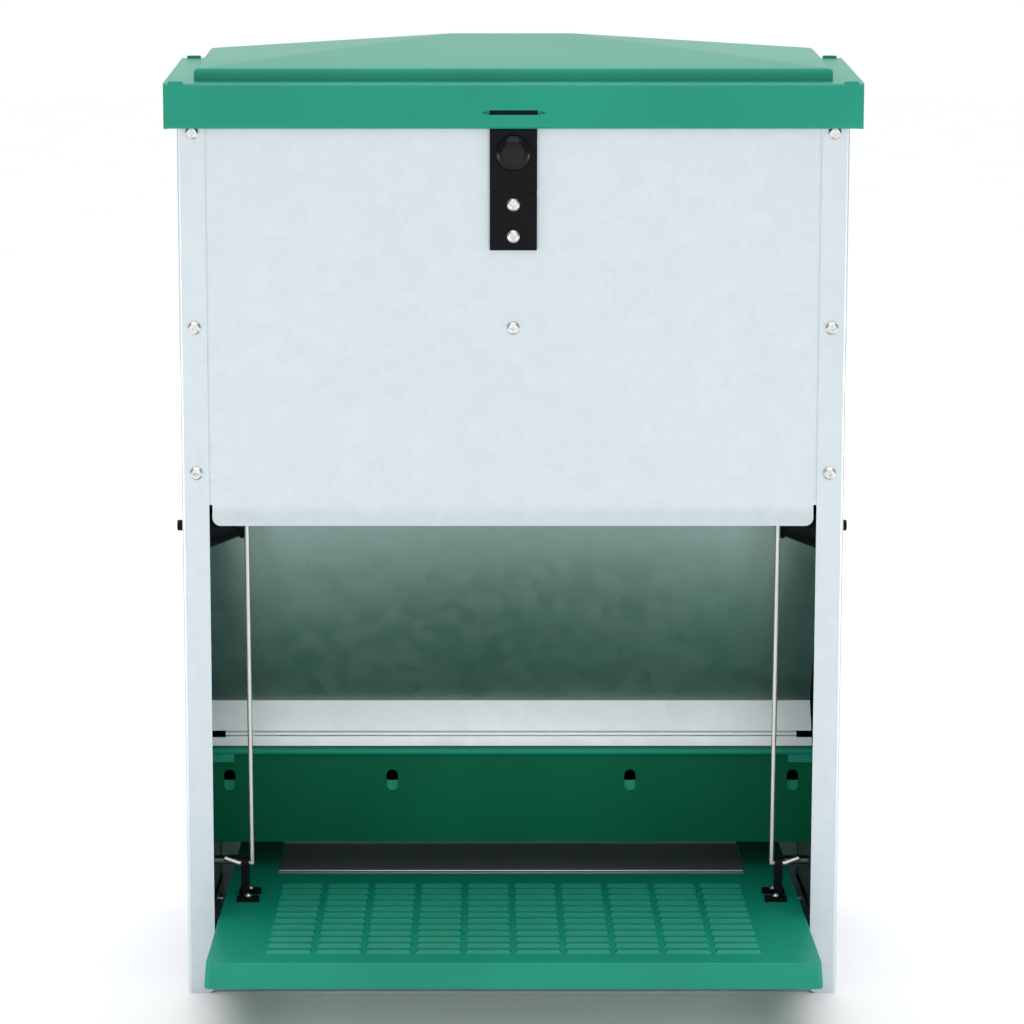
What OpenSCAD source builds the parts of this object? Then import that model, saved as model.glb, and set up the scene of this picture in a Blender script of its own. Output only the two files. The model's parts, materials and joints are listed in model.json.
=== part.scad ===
// Treadle-operated gravity poultry feeder.
// Origin: centre of the housing's footprint, on the floor. +Z up, -Y is the front.
// The treadle is drawn raised and the flap closed.

/* [Housing] */
// Width over the side panels
housing_w = 391; // [340:1:470]
// Depth over the side panels' flanges
housing_d = 206; // [200:1:260]
// Height of the side panels
housing_h = 543; // [500:1:660]
// Thickness of the steel sheet
sheet_t = 1; // [0.8:0.1:1.5]
// Width of the side panels' flanges, over the bend
flange_w = 16.2; // [12:0.1:22]
// Outer radius of the side panels' bends
bend_r = 2; // [1.6:0.1:4]
// Height of the front panel's bend above the floor
panel_z = 299; // [290:1:330]
// Height of the front panel's lower lip
lip_h = 12; // [8:0.5:20]
// How far the lip leans out at its lower edge
lip_lean = 3; // [1:0.5:6]
// Gap between the lip and each flange
lip_gap = 1.8; // [0.5:0.1:4]
// Radius of the lip's and the flanges' lower corners
corner_r = 5; // [2:0.5:8]

/* [Screws] */
// Radius of a screw's head
head_r = 3.9; // [3:0.1:5]
// Height of a screw's head
head_h = 2.2; // [1.5:0.1:3]
// Radius of a screw's shank
shank_r = 1.9; // [1.2:0.1:2.4]
// Radial clearance round a shank
shank_gap = 0.1; // [0.05:0.05:0.4]

/* [Hopper] */
// Height of the middle screw, which holds the baffle
baffle_screw_z = 404; // [380:1:440]
// Height of the baffle's bend at the front panel
baffle_z = 394; // [370:1:420]
// Height of the bend at the baffle's rear end
baffle_rear_z = 190; // [180:1:230]
// Height of the chute's vertical wall
chute_drop = 25; // [10:1:40]
// Gap between the chute's wall and the back panel
chute_w = 31; // [20:1:45]
// Depth of the baffle's side flanges
baffle_flange = 10; // [6:1:16]

/* [Trough] */
// Distance of the trough's board behind the front plane
trough_y = 90; // [85:1:110]
// Height of the board's top edge
trough_top = 129.4; // [120:0.1:140]
// Height of the trough's underside
trough_z = 67.8; // [60:0.1:75]
// Height of the trough's back wall
trough_back_h = 47; // [30:1:60]
// Wall of the trough
trough_wall = 2.5; // [2:0.1:4]
// Height of the board's rolled lip
trough_lip_h = 4.6; // [3:0.1:7]
// How far the rolled lip stands forward
trough_lip_d = 4; // [2:0.1:6]
// Distance of the inner slots from the middle
slot_inner_x = 75; // [50:1:100]
// Distance of the outer slots from the side panels
slot_side = 18; // [14:1:30]
// Width of a slot in the board
slot_w = 7.3; // [4:0.1:10]
// Height of a slot in the board
slot_h = 14.2; // [10:0.1:20]

/* [Lid] */
// How far the lid overhangs each side panel
lid_side = 7; // [6:0.5:12]
// How far the lid overhangs the front and the back
lid_over = 8; // [7.5:0.5:12]
// Height of the lid's skirt
skirt_h = 25.9; // [20:0.1:40]
// Wall of the lid
lid_wall = 2.5; // [2:0.1:4]
// Gap between the housing's top edge and the lid
lid_gap = 0.9; // [0.5:0.1:3]
// Rise of the lid's edge at mid-depth
gable_rise = 13.6; // [6:0.1:25]
// Width of the ledge round the raised panel
ledge_w = 17; // [10:0.5:30]
// Height of the raised panel above the ledge
riser_h = 7; // [4:0.5:12]
// Rise of the raised panel's ridge above its side edges
ridge_rise = 9; // [4:0.5:16]
// Half the length of the ridge
ridge_half = 37.4; // [15:0.1:100]
// Width of the lugs on the ledge
lug_w = 8.5; // [5:0.5:10]
// Height of the lugs on the ledge
lug_h = 2.2; // [1:0.1:4]

/* [Lid hinge] */
// Distance of each hinge from the middle
hinge_x = 120; // [60:1:140]
// Width of a hinge
hinge_w = 44; // [36:1:60]
// Height of the hinge leaf
leaf_h = 30; // [24:1:40]
// Distance of the hinge's axis behind the housing
hinge_back = 4.6; // [4.5:0.1:6]
// Drop of the hinge's axis below the lid's skirt
hinge_drop = 4.5; // [4:0.1:7]
// Outer radius of the knuckles
knuckle_r = 3.2; // [3:0.1:3.4]
// Radius of the hinge pins
hinge_pin_r = 1.8; // [1.2:0.1:2]

/* [Catch] */
// Width of the catch
latch_w = 27.5; // [20:0.5:40]
// Height of the catch's lower edge above the floor
latch_z = 450; // [430:1:470]
// Height of the catch's fixed part
latch_base_h = 34; // [30:1:40]
// Depth of the catch's fixed part
latch_base_t = 5; // [4:0.1:5.2]
// Thickness of the sprung tongue
tongue_t = 2; // [1.5:0.1:2.4]
// Radius of the round button
button_r = 10.3; // [8:0.1:12]
// How far the button stands out
button_h = 3.6; // [2:0.1:5]
// Height of the slot in the lid's skirt
catch_slot_h = 2.6; // [2.2:0.1:4]
// How far the tongue's nose reaches into the slot
nose_reach = 1.7; // [1:0.1:2]

/* [Flap] */
// Distance of the flap's pivot behind the front plane
pivot_y = 55; // [50:0.5:62]
// Height of the flap's pivot
pivot_z = 277.3; // [270:0.1:290]
// Distance from the pivot to the sheet
pivot_off = 5.7; // [5:0.1:7]
// Length of the sheet above the pivot
flap_above = 14; // [10:0.5:16]
// Length of the sheet from the pivot down to its crease
flap_below = 135.7; // [120:0.1:150]
// Lean of the sheet from the vertical
flap_lean = 22.4; // [18:0.1:26]
// Height of the lip below the crease
flap_lip_h = 26; // [18:0.5:30]
// How far the lip comes forward below the crease
flap_lip_in = 15; // [10:0.5:20]
// Gap between the sheet and each end wall of the trough
flap_gap = 0.7; // [0.5:0.1:4]
// Height of the lip's bead above the lip's lower edge
bead_z = 8.2; // [5:0.1:14]
// Radius of the lip's bead
bead_r = 1.9; // [1.2:0.1:2.5]
// Width of the notches at the ends of the bead
notch_w = 9.7; // [3:0.1:14]
// Radius of the flap's pivot pins
pin_r = 2.4; // [1.8:0.1:3]
// Radius of the pivot pins' heads
pin_head_r = 3.35; // [3:0.05:4.5]
// Length of the pivot pins' heads
pin_head_l = 8.7; // [4:0.1:12]
// Radial clearance of the turning fits
run_gap = 0.06; // [0.03:0.01:0.09]

/* [Lever arms] */
// Radius of the hub at the side panel
hub_r = 15; // [12:0.5:18]
// Thickness of the hub
hub_t = 6.2; // [4:0.1:7]
// Distance of the rod's eye in front of the pivot
eye_y = 27; // [22:0.5:32]
// Height of the rod's eye above the pivot
eye_z = 10.7; // [6:0.1:16]
// Radius of the arm round the rod's eye
eye_r = 5; // [4:0.1:6]
// Radius of the arm at the pivot
arm_r = 8; // [6:0.1:9]
// Thickness of the arm
arm_t = 4.8; // [3:0.1:6]

/* [Pull rods] */
// Distance of the rods from the side panels' outside
rod_side = 35.8; // [33:0.1:42]
// Radius of the wire
wire_r = 1.5; // [1.2:0.1:2]
// Radial clearance of the wire in the lever's eye
eye_gap = 0.7; // [0.6:0.05:1]
// Gap between the wire and the pieces that it passes
wire_gap = 0.35; // [0.3:0.05:0.8]
// Length of the wire's slanting tail
tail_l = 9; // [5:0.5:12]
// Angle of the tail above the horizontal
tail_angle = 20; // [5:1:35]

/* [Treadle] */
// Gap between the treadle and each flange
treadle_gap = 1.6; // [1:0.1:6]
// How far the treadle reaches in front of the housing
treadle_out = 86; // [70:1:110]
// Distance of the plate's rear edge behind the front plane
treadle_rear = 90; // [84:1:96]
// Distance of the ears' rear edge behind the front plane
ear_rear = 160; // [156:1:166]
// Width of an ear
ear_w = 29.5; // [26:0.5:36]
// Height of the treadle's top
treadle_z = 47.5; // [44:0.1:56]
// Depth of the treadle's skirt
treadle_skirt = 15; // [12:0.1:16]
// Thickness of the treadle's plate
treadle_t = 3; // [2:0.1:4]
// Wall of the treadle's skirt
treadle_wall = 2.5; // [2:0.1:4]
// Number of columns of grip ribs
grip_cols = 10; // [6:1:12]
// Number of rows of grip ribs
grip_rows = 12; // [6:1:14]
// Distance between columns of grip ribs
col_pitch = 28.94; // [20:0.02:32]
// Distance between rows of grip ribs
row_pitch = 11.6; // [9:0.1:13]
// Length of a grip rib at its foot
grip_l = 27.2; // [14:0.1:28]
// Width of a slot between two grip ribs
grip_w = 4.2; // [1.5:0.1:6]
// Height of the grip ribs above the plate
grip_h = 1.5; // [1:0.1:4]
// Distance of the middle of the grip ribs in front of the front plane
grip_mid = 1; // [-10:0.5:10]

/* [Treadle axle] */
// Distance of the axle behind the front plane
axle_y = 150; // [146:0.5:156]
// Height of the axle
axle_z = 38; // [36:0.1:42]
// Radius of the axle
axle_r = 3; // [2:0.1:4]
// Outer radius of the ears' bosses
boss_r = 7.2; // [6.8:0.1:9]
// Radius of the axle's end caps
cap_r = 6; // [5:0.1:8]

/* [Rod brackets] */
// Distance of the rod's hole behind the front plane
bracket_y = 40; // [34:0.5:46]
// Height of the rod's hole above the treadle
bracket_h = 21.5; // [16:0.5:28]
// Radius of the bracket round the hole
bracket_r = 3.6; // [3:0.1:5]
// Thickness of the bracket's post
post_t = 4.8; // [3:0.1:6]
// Width of the bracket's foot
foot_w = 13.5; // [10:0.5:18]
// Length of the bracket's foot
foot_l = 21; // [16:0.5:26]
// Thickness of the bracket's foot
foot_t = 3; // [2:0.1:4]

/* [Hidden] */
$fn = 48;

// A cut runs past its solid by this much
over = 1;
// Gap between pieces that are screwed together side by side
fit_gap = 0.3;
// Gap between moving pieces that pass each other
pass_gap = 0.4;
// Radial clearance of rivets and thin screws
shank_slack = 0.05;

green = "#1e9c74";
zinc = "#c4ced2";
bright = "#d9dcdb";
black = "#1c1f22";

front_y = -housing_d / 2;
back_y = housing_d / 2;
wall_x = housing_w / 2;
inner_x = wall_x - sheet_t;
panel_half = inner_x - max(fit_gap, bend_r - sheet_t);
open_half = wall_x - flange_w;
lip_half = open_half - lip_gap;

lid_half = wall_x + lid_side;
lid_front = front_y - lid_over;
lid_back = back_y + lid_over;
lid_depth = lid_back - lid_front;
skirt_top = housing_h + lid_gap + lid_wall;
skirt_z = skirt_top - skirt_h;
lid_corner_r = 3;
lug_t = 3;
hinge_y = back_y + hinge_back;
hinge_z = skirt_z - hinge_drop;
knuckle_w = hinge_w / 3;
// Each lid ear lies between a leaf's knuckle and the pin's end
ear_x = (knuckle_w + pass_gap) * 0.98;
lid_ear_half = knuckle_w / 2 - pass_gap;
leaf_t = sheet_t;
leaf_mid = hinge_z - leaf_h * 0.55;
hinge_screw_x = [hinge_x - hinge_w * 0.3, hinge_x + hinge_w * 0.3];

flange_screw_x = wall_x - flange_w * 0.55;
flange_screw_z = [skirt_z - 2.5, baffle_screw_z, panel_z + 19];
back_screw_z = [60, baffle_rear_z + 60, housing_h - 60];
tray_flange = 12;
tray_front = 8;
tray_screw = [[front_y + 40, 7], [back_y - 40, 7]];

baffle_rear_y = back_y - 2 * sheet_t - chute_w - sheet_t;
baffle_top = baffle_screw_z + 12;
baffle_path = [
    [front_y + 2 * sheet_t, baffle_top],
    [front_y + 2 * sheet_t, baffle_z],
    [baffle_rear_y, baffle_rear_z],
    [baffle_rear_y, baffle_rear_z - chute_drop]
];
baffle_down = unit(baffle_path[2] - baffle_path[1]);
baffle_len = norm(baffle_path[2] - baffle_path[1]);
// The baffle's side flanges start here, so that they end behind the front panel
baffle_start = -(baffle_flange * baffle_down.y - fit_gap) / baffle_down.x;
baffle_side = [
    for (along = [baffle_start, baffle_len - baffle_flange / 2])
        baffle_path[1] + baffle_down * along + normal(baffle_down) * sheet_t / 2
];
baffle_screw = [
    for (share = [0.2, 0.8])
        baffle_path[1] + baffle_down * baffle_len * share - normal(baffle_down) * baffle_flange / 2
];

board_y = front_y + trough_y;
trough_back = back_y - 2 * sheet_t - fit_gap;
trough_path = [
    [board_y, trough_top], [board_y, trough_z], [trough_back, trough_z],
    [trough_back, trough_z + trough_back_h]
];
trough_screw = [[board_y + 22, trough_z + 14], [trough_back - 22, trough_z + 14]];
board_slot_z = (trough_top + trough_z) / 2 + 9;

latch_face = front_y + sheet_t - latch_base_t;
tongue_gap = 0.3;
tongue_z = latch_z + latch_base_h + tongue_gap;
tongue_top = skirt_z + skirt_h / 2;
catch_z = skirt_z + 9.5;
button_z = latch_z + 56.6;
latch_screw_z = [latch_z + 8.2, latch_z + 26.6];
nose_h = catch_slot_h - 1;

flap_half = panel_half - trough_wall - flap_gap;
pivot = [front_y + pivot_y, pivot_z];
flap_down = [sin(flap_lean), -cos(flap_lean)];
flap_foot = pivot + pivot_off * normal(flap_down);
crease = flap_foot + flap_below * flap_down;
flap_path = [
    flap_foot - flap_above * flap_down, crease, crease - [flap_lip_in, flap_lip_h]
];
lip_up = unit(crease - flap_path[2]);
bead = flap_path[2] + lip_up * bead_z - normal(lip_up) * sheet_t / 2;
bead_half = flap_half - notch_w;
rivet_r = 1.6;
rivet_x = flap_half - 5;
rivet_s = 9;

rod_x = wall_x - rod_side;
arm_x = rod_x + wire_r + wire_gap;
eye = pivot + [-eye_y, eye_z];
arm_side = normal(unit(eye - pivot)) * eye_r;
// The wire is a little thicker where it is bent
elbow_swell = 0.05;
pin_in = 18;
hub_x = inner_x - pass_gap;

treadle_half = open_half - treadle_gap;
plate_front = front_y - treadle_out;
plate_rear = front_y + treadle_rear;
ears_rear = front_y + ear_rear;
plate_under = treadle_z - treadle_t;
skirt_under = treadle_z - treadle_skirt;
axle = [front_y + axle_y, axle_z];
ear_in = treadle_half - ear_w;
channel_top = treadle_z - 0.6;
channel_half = ear_in - fit_gap;
channel_path = [
    [ears_rear - 3, axle_z + 2], [ears_rear - 3, channel_top], [plate_rear, channel_top],
    [plate_rear, skirt_under + 2]
];
channel_screw_x = [for (share = [-0.8, 0, 0.8]) channel_half * share];

hole = [front_y + bracket_y, treadle_z + bracket_h];
post_x = rod_x + wire_r + wire_gap;
foot_x = post_x + post_t / 2 - 2.2;
foot_screw_y = [hole.x - foot_l / 2 + 2.6, hole.x + foot_l / 2 - 2.6];
bracket_shank_r = 1.2;
bracket_head_r = 2.3;
bracket_head_h = 1.4;
// Height of the channel's screws above the skirt's lower edge
channel_screw_h = 6;

function unit(v) = v / norm(v);
function normal(v) = [-v.y, v.x];
function miter(path, i, t) =
    let (
        last = len(path) - 1,
        after = unit(path[min(i + 1, last)] - path[min(i, last - 1)]),
        before = unit(path[max(i, 1)] - path[max(i - 1, 0)]),
        n = unit(normal(before) + normal(after))
    )
    path[i] + n * t / (n * normal(before));
// Outline of a strip of thickness t to the left of a path
function strip(path, t) =
    concat(path, [for (i = [len(path) - 1:-1:0]) miter(path, i, t)]);

// Extrudes a Y-Z outline along X
module along_x(from, to)
    translate([from, 0, 0]) rotate([90, 0, 90]) linear_extrude(to - from) children();

// Extrudes an X-Z outline along Y
module along_y(from, to)
    translate([0, to, 0]) rotate([90, 0, 0]) linear_extrude(to - from) children();

module bent_sheet(path, t, half)
    along_x(-half, half) polygon(strip(path, t));

module bar_x(from, to, at, r)
    translate([from, at.x, at.y]) rotate([0, 90, 0]) cylinder(r = r, h = to - from);

module box(low, high)
    translate(low) cube(high - low);

// Children on both sides, or on one side only
module on_side(side)
    mirror([side < 0 ? 1 : 0, 0, 0]) children();

module both_sides()
    for (side = [-1, 1]) on_side(side) children();

// Rectangle with rounded corners where the flags are set: low x, high x
module soft_rect(low, high, r, low_x = true, high_x = true) {
    x0 = low_x ? low.x + r : low.x;
    x1 = high_x ? high.x - r : high.x;
    translate([x0, low.y]) square([x1 - x0, high.y - low.y]);
    translate([low.x, low.y + r]) square([high.x - low.x, high.y - low.y - 2 * r]);
    for (y = [low.y + r, high.y - r]) {
        if (low_x) translate([x0, y]) circle(r);
        if (high_x) translate([x1, y]) circle(r);
    }
}

// Pan-head screw: head at z 0 upwards, shank below
module pan_screw(length, r = shank_r, top_r = head_r, top_h = head_h) {
    difference() {
        union() {
            cylinder(r = top_r, h = top_h * 0.45);
            translate([0, 0, top_h * 0.45]) cylinder(r1 = top_r, r2 = top_r * 0.7, h = top_h * 0.55);
        }
        for (turn = [0, 90])
            rotate([0, 0, turn]) box(
                [-top_r * 0.5, -top_r * 0.11, top_h * 0.45],
                [top_r * 0.5, top_r * 0.11, top_h + over]
            );
    }
    translate([0, 0, -length]) cylinder(r = r, h = length);
}

// Screw whose head lies on a face that looks to the front, the back or a side
module front_screw(x, y, z, length)
    translate([x, y, z]) rotate([90, 0, 0]) pan_screw(length);

module back_screw(x, y, z, length)
    translate([x, y, z]) rotate([-90, 0, 0]) pan_screw(length);

module side_screw(at, length)
    translate([wall_x, at.x, at.y]) rotate([0, 90, 0]) pan_screw(length);

module hole_y(x, z, from, to, r = shank_r + shank_gap)
    translate([x, to, z]) rotate([90, 0, 0]) cylinder(r = r, h = to - from);

module hole_x(at, from, to, r = shank_r + shank_gap)
    bar_x(from, to, at, r);

// Housing

module side_panel(side) color(zinc) on_side(side) difference() {
    linear_extrude(housing_h) difference() {
        soft_rect([open_half, front_y], [wall_x, back_y], bend_r, low_x = false);
        soft_rect(
            [open_half - over, front_y + sheet_t], [inner_x, back_y - sheet_t],
            bend_r - sheet_t, low_x = false
        );
    }
    along_y(front_y - over, front_y + sheet_t + fit_gap) difference() {
        translate([open_half - over, -over]) square(corner_r + over);
        translate([open_half + corner_r, corner_r]) circle(corner_r);
    }
    for (z = flange_screw_z)
        hole_y(flange_screw_x, z, front_y - over, front_y + sheet_t + over);
    for (z = back_screw_z)
        hole_y(flange_screw_x, z, back_y - sheet_t - over, back_y + over);
    for (at = concat(baffle_screw, trough_screw, tray_screw))
        hole_x(at, inner_x - over, wall_x + over);
    hole_x(pivot, inner_x - over, wall_x + over, pin_r + run_gap);
    hole_x(axle, inner_x - over, wall_x + over, axle_r + run_gap);
}

module front_panel() color(zinc) difference() {
    bent_sheet(
        [
            [front_y + sheet_t, housing_h], [front_y + sheet_t, panel_z],
            [front_y + sheet_t - lip_lean, panel_z - lip_h]
        ],
        sheet_t, panel_half
    );
    both_sides() {
        box(
            [lip_half, front_y - lip_lean - over, panel_z - lip_h - over],
            [wall_x, front_y + 3 * sheet_t, panel_z]
        );
        along_y(front_y - lip_lean - over, front_y + 3 * sheet_t) difference() {
            translate([lip_half - corner_r, panel_z - lip_h - over]) square(corner_r + over);
            translate([lip_half - corner_r, panel_z - lip_h + corner_r]) circle(corner_r);
        }
        for (z = flange_screw_z) hole_y(flange_screw_x, z, front_y, front_y + 3 * sheet_t);
    }
    for (z = concat(latch_screw_z, [baffle_screw_z])) hole_y(0, z, front_y, front_y + 3 * sheet_t);
}

module back_panel() color(zinc) difference() {
    box([-panel_half, back_y - 2 * sheet_t, sheet_t], [panel_half, back_y - sheet_t, housing_h]);
    both_sides() {
        for (z = back_screw_z)
            hole_y(flange_screw_x, z, back_y - 3 * sheet_t, back_y + over);
        for (x = hinge_screw_x)
            hole_y(x, leaf_mid, back_y - 3 * sheet_t, back_y + over);
    }
}

module base_tray() color(zinc) difference() {
    union() {
        bent_sheet(
            [
                [front_y + 3 * sheet_t, tray_front], [front_y + 3 * sheet_t, 0],
                [back_y - 2 * sheet_t - fit_gap, 0], [back_y - 2 * sheet_t - fit_gap, tray_flange]
            ],
            sheet_t, panel_half
        );
        both_sides() box(
            [panel_half - sheet_t, front_y + 3 * sheet_t, 0],
            [panel_half, back_y - 2 * sheet_t - fit_gap, tray_flange]
        );
    }
    both_sides() for (at = tray_screw) hole_x(at, panel_half - 3 * sheet_t, wall_x);
}

module hopper_baffle() color(zinc) difference() {
    union() {
        bent_sheet(baffle_path, sheet_t, panel_half);
        both_sides() along_x(panel_half - sheet_t, panel_half)
            polygon(strip(baffle_side, -baffle_flange - sheet_t / 2));
    }
    hole_y(0, baffle_screw_z, front_y, front_y + 4 * sheet_t);
    both_sides() {
        hole_y(flange_screw_x, baffle_screw_z, front_y, front_y + 4 * sheet_t);
        for (at = baffle_screw) hole_x(at, panel_half - 3 * sheet_t, wall_x);
    }
}

module trough_slot(x) {
    recess = trough_wall * 0.6;
    translate([x, 0, board_slot_z]) {
        along_y(board_y - over, board_y + recess) {
            for (end = [-1, 1]) translate([0, end * (slot_h - slot_w) / 2]) circle(slot_w / 2);
            square([slot_w, slot_h - slot_w], center = true);
        }
        along_y(board_y - over, board_y + trough_wall + over) {
            translate([0, (slot_h - slot_w) / 2]) circle(slot_w / 2);
            translate([-slot_w / 2, 0]) square([slot_w, (slot_h - slot_w) / 2]);
        }
    }
}

module feed_trough() color(green) difference() {
    tab_h = 2 * trough_lip_h;
    tab_in = open_half - 5;
    union() {
        bent_sheet(trough_path, trough_wall, panel_half);
        both_sides() along_x(panel_half - trough_wall, panel_half) polygon(trough_path);
        bar_x(
            -panel_half, panel_half,
            [board_y - trough_lip_d + trough_lip_h / 2, trough_top - trough_lip_h / 2], trough_lip_h / 2
        );
        box(
            [-panel_half, board_y - trough_lip_d + trough_lip_h / 2, trough_top - trough_lip_h],
            [panel_half, board_y + trough_wall, trough_top]
        );
        both_sides() box(
            [tab_in, board_y - trough_lip_d * 0.8, trough_top - tab_h],
            [panel_half, board_y + trough_wall, trough_top - trough_lip_h / 2]
        );
    }
    both_sides() {
        trough_slot(slot_inner_x);
        trough_slot(wall_x - slot_side);
        for (at = trough_screw) hole_x(at, panel_half - trough_wall - over, wall_x);
    }
}

module front_screws() color(bright) {
    both_sides() for (z = flange_screw_z) front_screw(flange_screw_x, front_y, z, 6);
    front_screw(0, front_y + sheet_t, baffle_screw_z, 6);
}

module back_screws() color(bright)
    both_sides() for (z = back_screw_z) back_screw(flange_screw_x, back_y, z, 6);

module side_screws() color(bright)
    both_sides() for (at = concat(baffle_screw, trough_screw, tray_screw)) side_screw(at, 6);

// Catch

module latch_base() color(black) difference() {
    along_y(latch_face, front_y + sheet_t)
        soft_rect([-latch_w / 2, latch_z], [latch_w / 2, latch_z + latch_base_h], 2);
    for (z = latch_screw_z) hole_y(0, z, latch_face - over, front_y + sheet_t + over);
}

module latch_screws() color(bright)
    for (z = latch_screw_z) front_screw(0, latch_face, z, latch_base_t + 4);

module latch_tongue() color(black) {
    foot_r = tongue_t / 2;
    bar_x(-latch_w / 2, latch_w / 2, [latch_face + foot_r, tongue_z + foot_r], foot_r);
    box(
        [-latch_w / 2, latch_face, tongue_z + foot_r],
        [latch_w / 2, latch_face + tongue_t, tongue_top]
    );
    box(
        [-latch_w / 2 + 1, lid_front + lid_wall - nose_reach, catch_z - nose_h / 2],
        [latch_w / 2 - 1, latch_face + over, catch_z + nose_h / 2]
    );
}

module latch_button() color(black) {
    rim = button_h * 0.25;
    dome = button_h - rim;
    dome_r = (button_r * button_r + dome * dome) / (2 * dome);
    translate([0, latch_face, button_z]) rotate([90, 0, 0]) {
        cylinder(r = button_r, h = rim);
        intersection() {
            translate([0, 0, button_h - dome_r]) sphere(dome_r, $fn = 96);
            cylinder(r = button_r, h = button_h);
        }
    }
}

// Lid

module hinge_leaf(side) color(bright) on_side(side) difference() {
    axis = [hinge_y, hinge_z];
    union() {
        box(
            [hinge_x - hinge_w / 2, back_y - sheet_t, hinge_z - leaf_h],
            [hinge_x + hinge_w / 2, back_y - sheet_t + leaf_t, hinge_z - knuckle_r - 2]
        );
        box(
            [hinge_x - knuckle_w / 2, back_y - sheet_t, hinge_z - knuckle_r - 2 - over],
            [hinge_x + knuckle_w / 2, back_y - sheet_t + leaf_t, hinge_z + 1]
        );
        box(
            [hinge_x - knuckle_w / 2, back_y - sheet_t, hinge_z - 1],
            [hinge_x + knuckle_w / 2, hinge_y, hinge_z + 1]
        );
        bar_x(hinge_x - knuckle_w / 2, hinge_x + knuckle_w / 2, axis, knuckle_r);
    }
    for (x = hinge_screw_x)
        hole_y(x, leaf_mid, back_y - 2 * sheet_t, back_y + leaf_t + over);
    bar_x(hinge_x - hinge_w, hinge_x + hinge_w, axis, hinge_pin_r + run_gap);
}

module hinge_screws() color(bright)
    both_sides() for (x = hinge_screw_x)
        back_screw(x, back_y - sheet_t + leaf_t, leaf_mid, 4);

module hinge_pin(side) color(bright) on_side(side)
    bar_x(hinge_x - hinge_w / 2, hinge_x + hinge_w / 2, [hinge_y, hinge_z], hinge_pin_r);

// Skirt and gabled ledge, shrunk by a wall for the hollow inside
module lid_body(wall, under) {
    r = max(lid_corner_r - wall, 0.5);
    half = lid_half - wall;
    hull() {
        for (x = [-half + r, half - r], y = [lid_front + wall + r, lid_back - wall - r])
            translate([x, y, skirt_z - under])
                cylinder(r = r, h = skirt_h - wall + under, $fn = 32);
        box([-half, -0.5, skirt_top], [half, 0.5, skirt_top + gable_rise - wall]);
    }
}

// Raised panel with four flat faces that meet at a short ridge
module lid_panel(wall) {
    half = lid_half - ledge_w - wall;
    deep = lid_depth / 2 - ledge_w + 4 - wall;
    edge_z = skirt_top + gable_rise * (1 - deep / (lid_depth / 2)) + riser_h - wall;
    side_z = skirt_top + gable_rise + riser_h - 1 - wall;
    hull() {
        for (x = [-half, half - 1], y = [-deep, deep - 1])
            box([x, y, skirt_top - 8], [x + 1, y + 1, edge_z]);
        box([-half, -0.5, skirt_top - 8], [half, 0.5, side_z]);
        box([-ridge_half, -0.5, skirt_top - 8], [ridge_half, 0.5, side_z + ridge_rise]);
    }
}

module lid_shell() color(green) difference() {
    lug_x = lid_half - lug_w / 2 - 3;
    axis = [hinge_y, hinge_z];
    union() {
        difference() {
            union() {
                lid_body(0, 0);
                lid_panel(0);
            }
            lid_body(lid_wall, over);
            lid_panel(lid_wall);
        }
        both_sides() for (y = [lid_front + lug_t / 2 + 1, 0, lid_back - lug_t / 2 - 1])
            box(
                [lug_x - lug_w / 2, y - lug_t / 2, skirt_top + lid_rise(y) - 1],
                [lug_x + lug_w / 2, y + lug_t / 2, skirt_top + lid_rise(y) + lug_h - 1]
            );
        both_sides() for (end = [-1, 1]) translate([hinge_x + end * ear_x, 0, 0]) {
            bar_x(-lid_ear_half, lid_ear_half, axis, knuckle_r);
            box(
                [-lid_ear_half, hinge_y, hinge_z],
                [lid_ear_half, hinge_y + knuckle_r, skirt_z + 2]
            );
        }
    }
    catch_slot();
    both_sides() bar_x(hinge_x - hinge_w, hinge_x + hinge_w, axis, hinge_pin_r + run_gap / 4);
}

function lid_rise(y) = gable_rise * (1 - abs(y) / (lid_depth / 2));

module catch_slot() {
    wide = latch_w + 9;
    long = latch_w + 1.5;
    along_y(lid_front - over, lid_front + lid_wall + over)
        polygon([
            [-wide / 2, catch_z - 0.3], [-long / 2, catch_z - catch_slot_h / 2],
            [long / 2, catch_z - catch_slot_h / 2], [wide / 2, catch_z - 0.3],
            [wide / 2, catch_z + 0.3], [long / 2, catch_z + catch_slot_h / 2],
            [-long / 2, catch_z + catch_slot_h / 2], [-wide / 2, catch_z + 0.3]
        ]);
}

// Flap

module flap_pin(side) color(black) on_side(side) {
    bar_x(wall_x + 0.2, wall_x + pin_head_l, pivot, pin_head_r);
    bar_x(hub_x - pin_in, wall_x + 1, pivot, pin_r);
}

// Everything behind the front face of the flap's sheet
module behind_flap(from, to)
    along_x(from, to) polygon(strip([flap_foot - 60 * flap_down, flap_foot + 60 * flap_down], 40));

module lever_arm(side) color(black) on_side(side) difference() {
    union() {
        translate([0, pivot.x, pivot.y]) rotate([0, 90, 0]) rotate_extrude()
            polygon([[0, arm_x], [eye_r, arm_x], [hub_r, hub_x - hub_t], [hub_r, hub_x], [0, hub_x]]);
        bar_x(arm_x, arm_x + arm_t, pivot, arm_r);
        bar_x(arm_x, arm_x + arm_t, eye, eye_r);
        along_x(arm_x, arm_x + arm_t) polygon(strip([pivot - arm_side, eye - arm_side], 2 * eye_r));
    }
    behind_flap(arm_x - over, flap_half + pass_gap);
    bar_x(hub_x - pin_in - over, hub_x + over, pivot, pin_r + run_gap);
    bar_x(arm_x - over, arm_x + arm_t + over, eye, wire_r + eye_gap);
    for (s = [-rivet_s, rivet_s]) rivet_at(s) cylinder(r = rivet_r + shank_slack, h = 5, center = true);
}

// Children with +Z along the sheet's rear normal, on its front face
module rivet_at(s) {
    at = flap_foot + s * flap_down;
    translate([rivet_x, at.x, at.y]) rotate([flap_lean - 90, 0, 0]) children();
}

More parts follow.
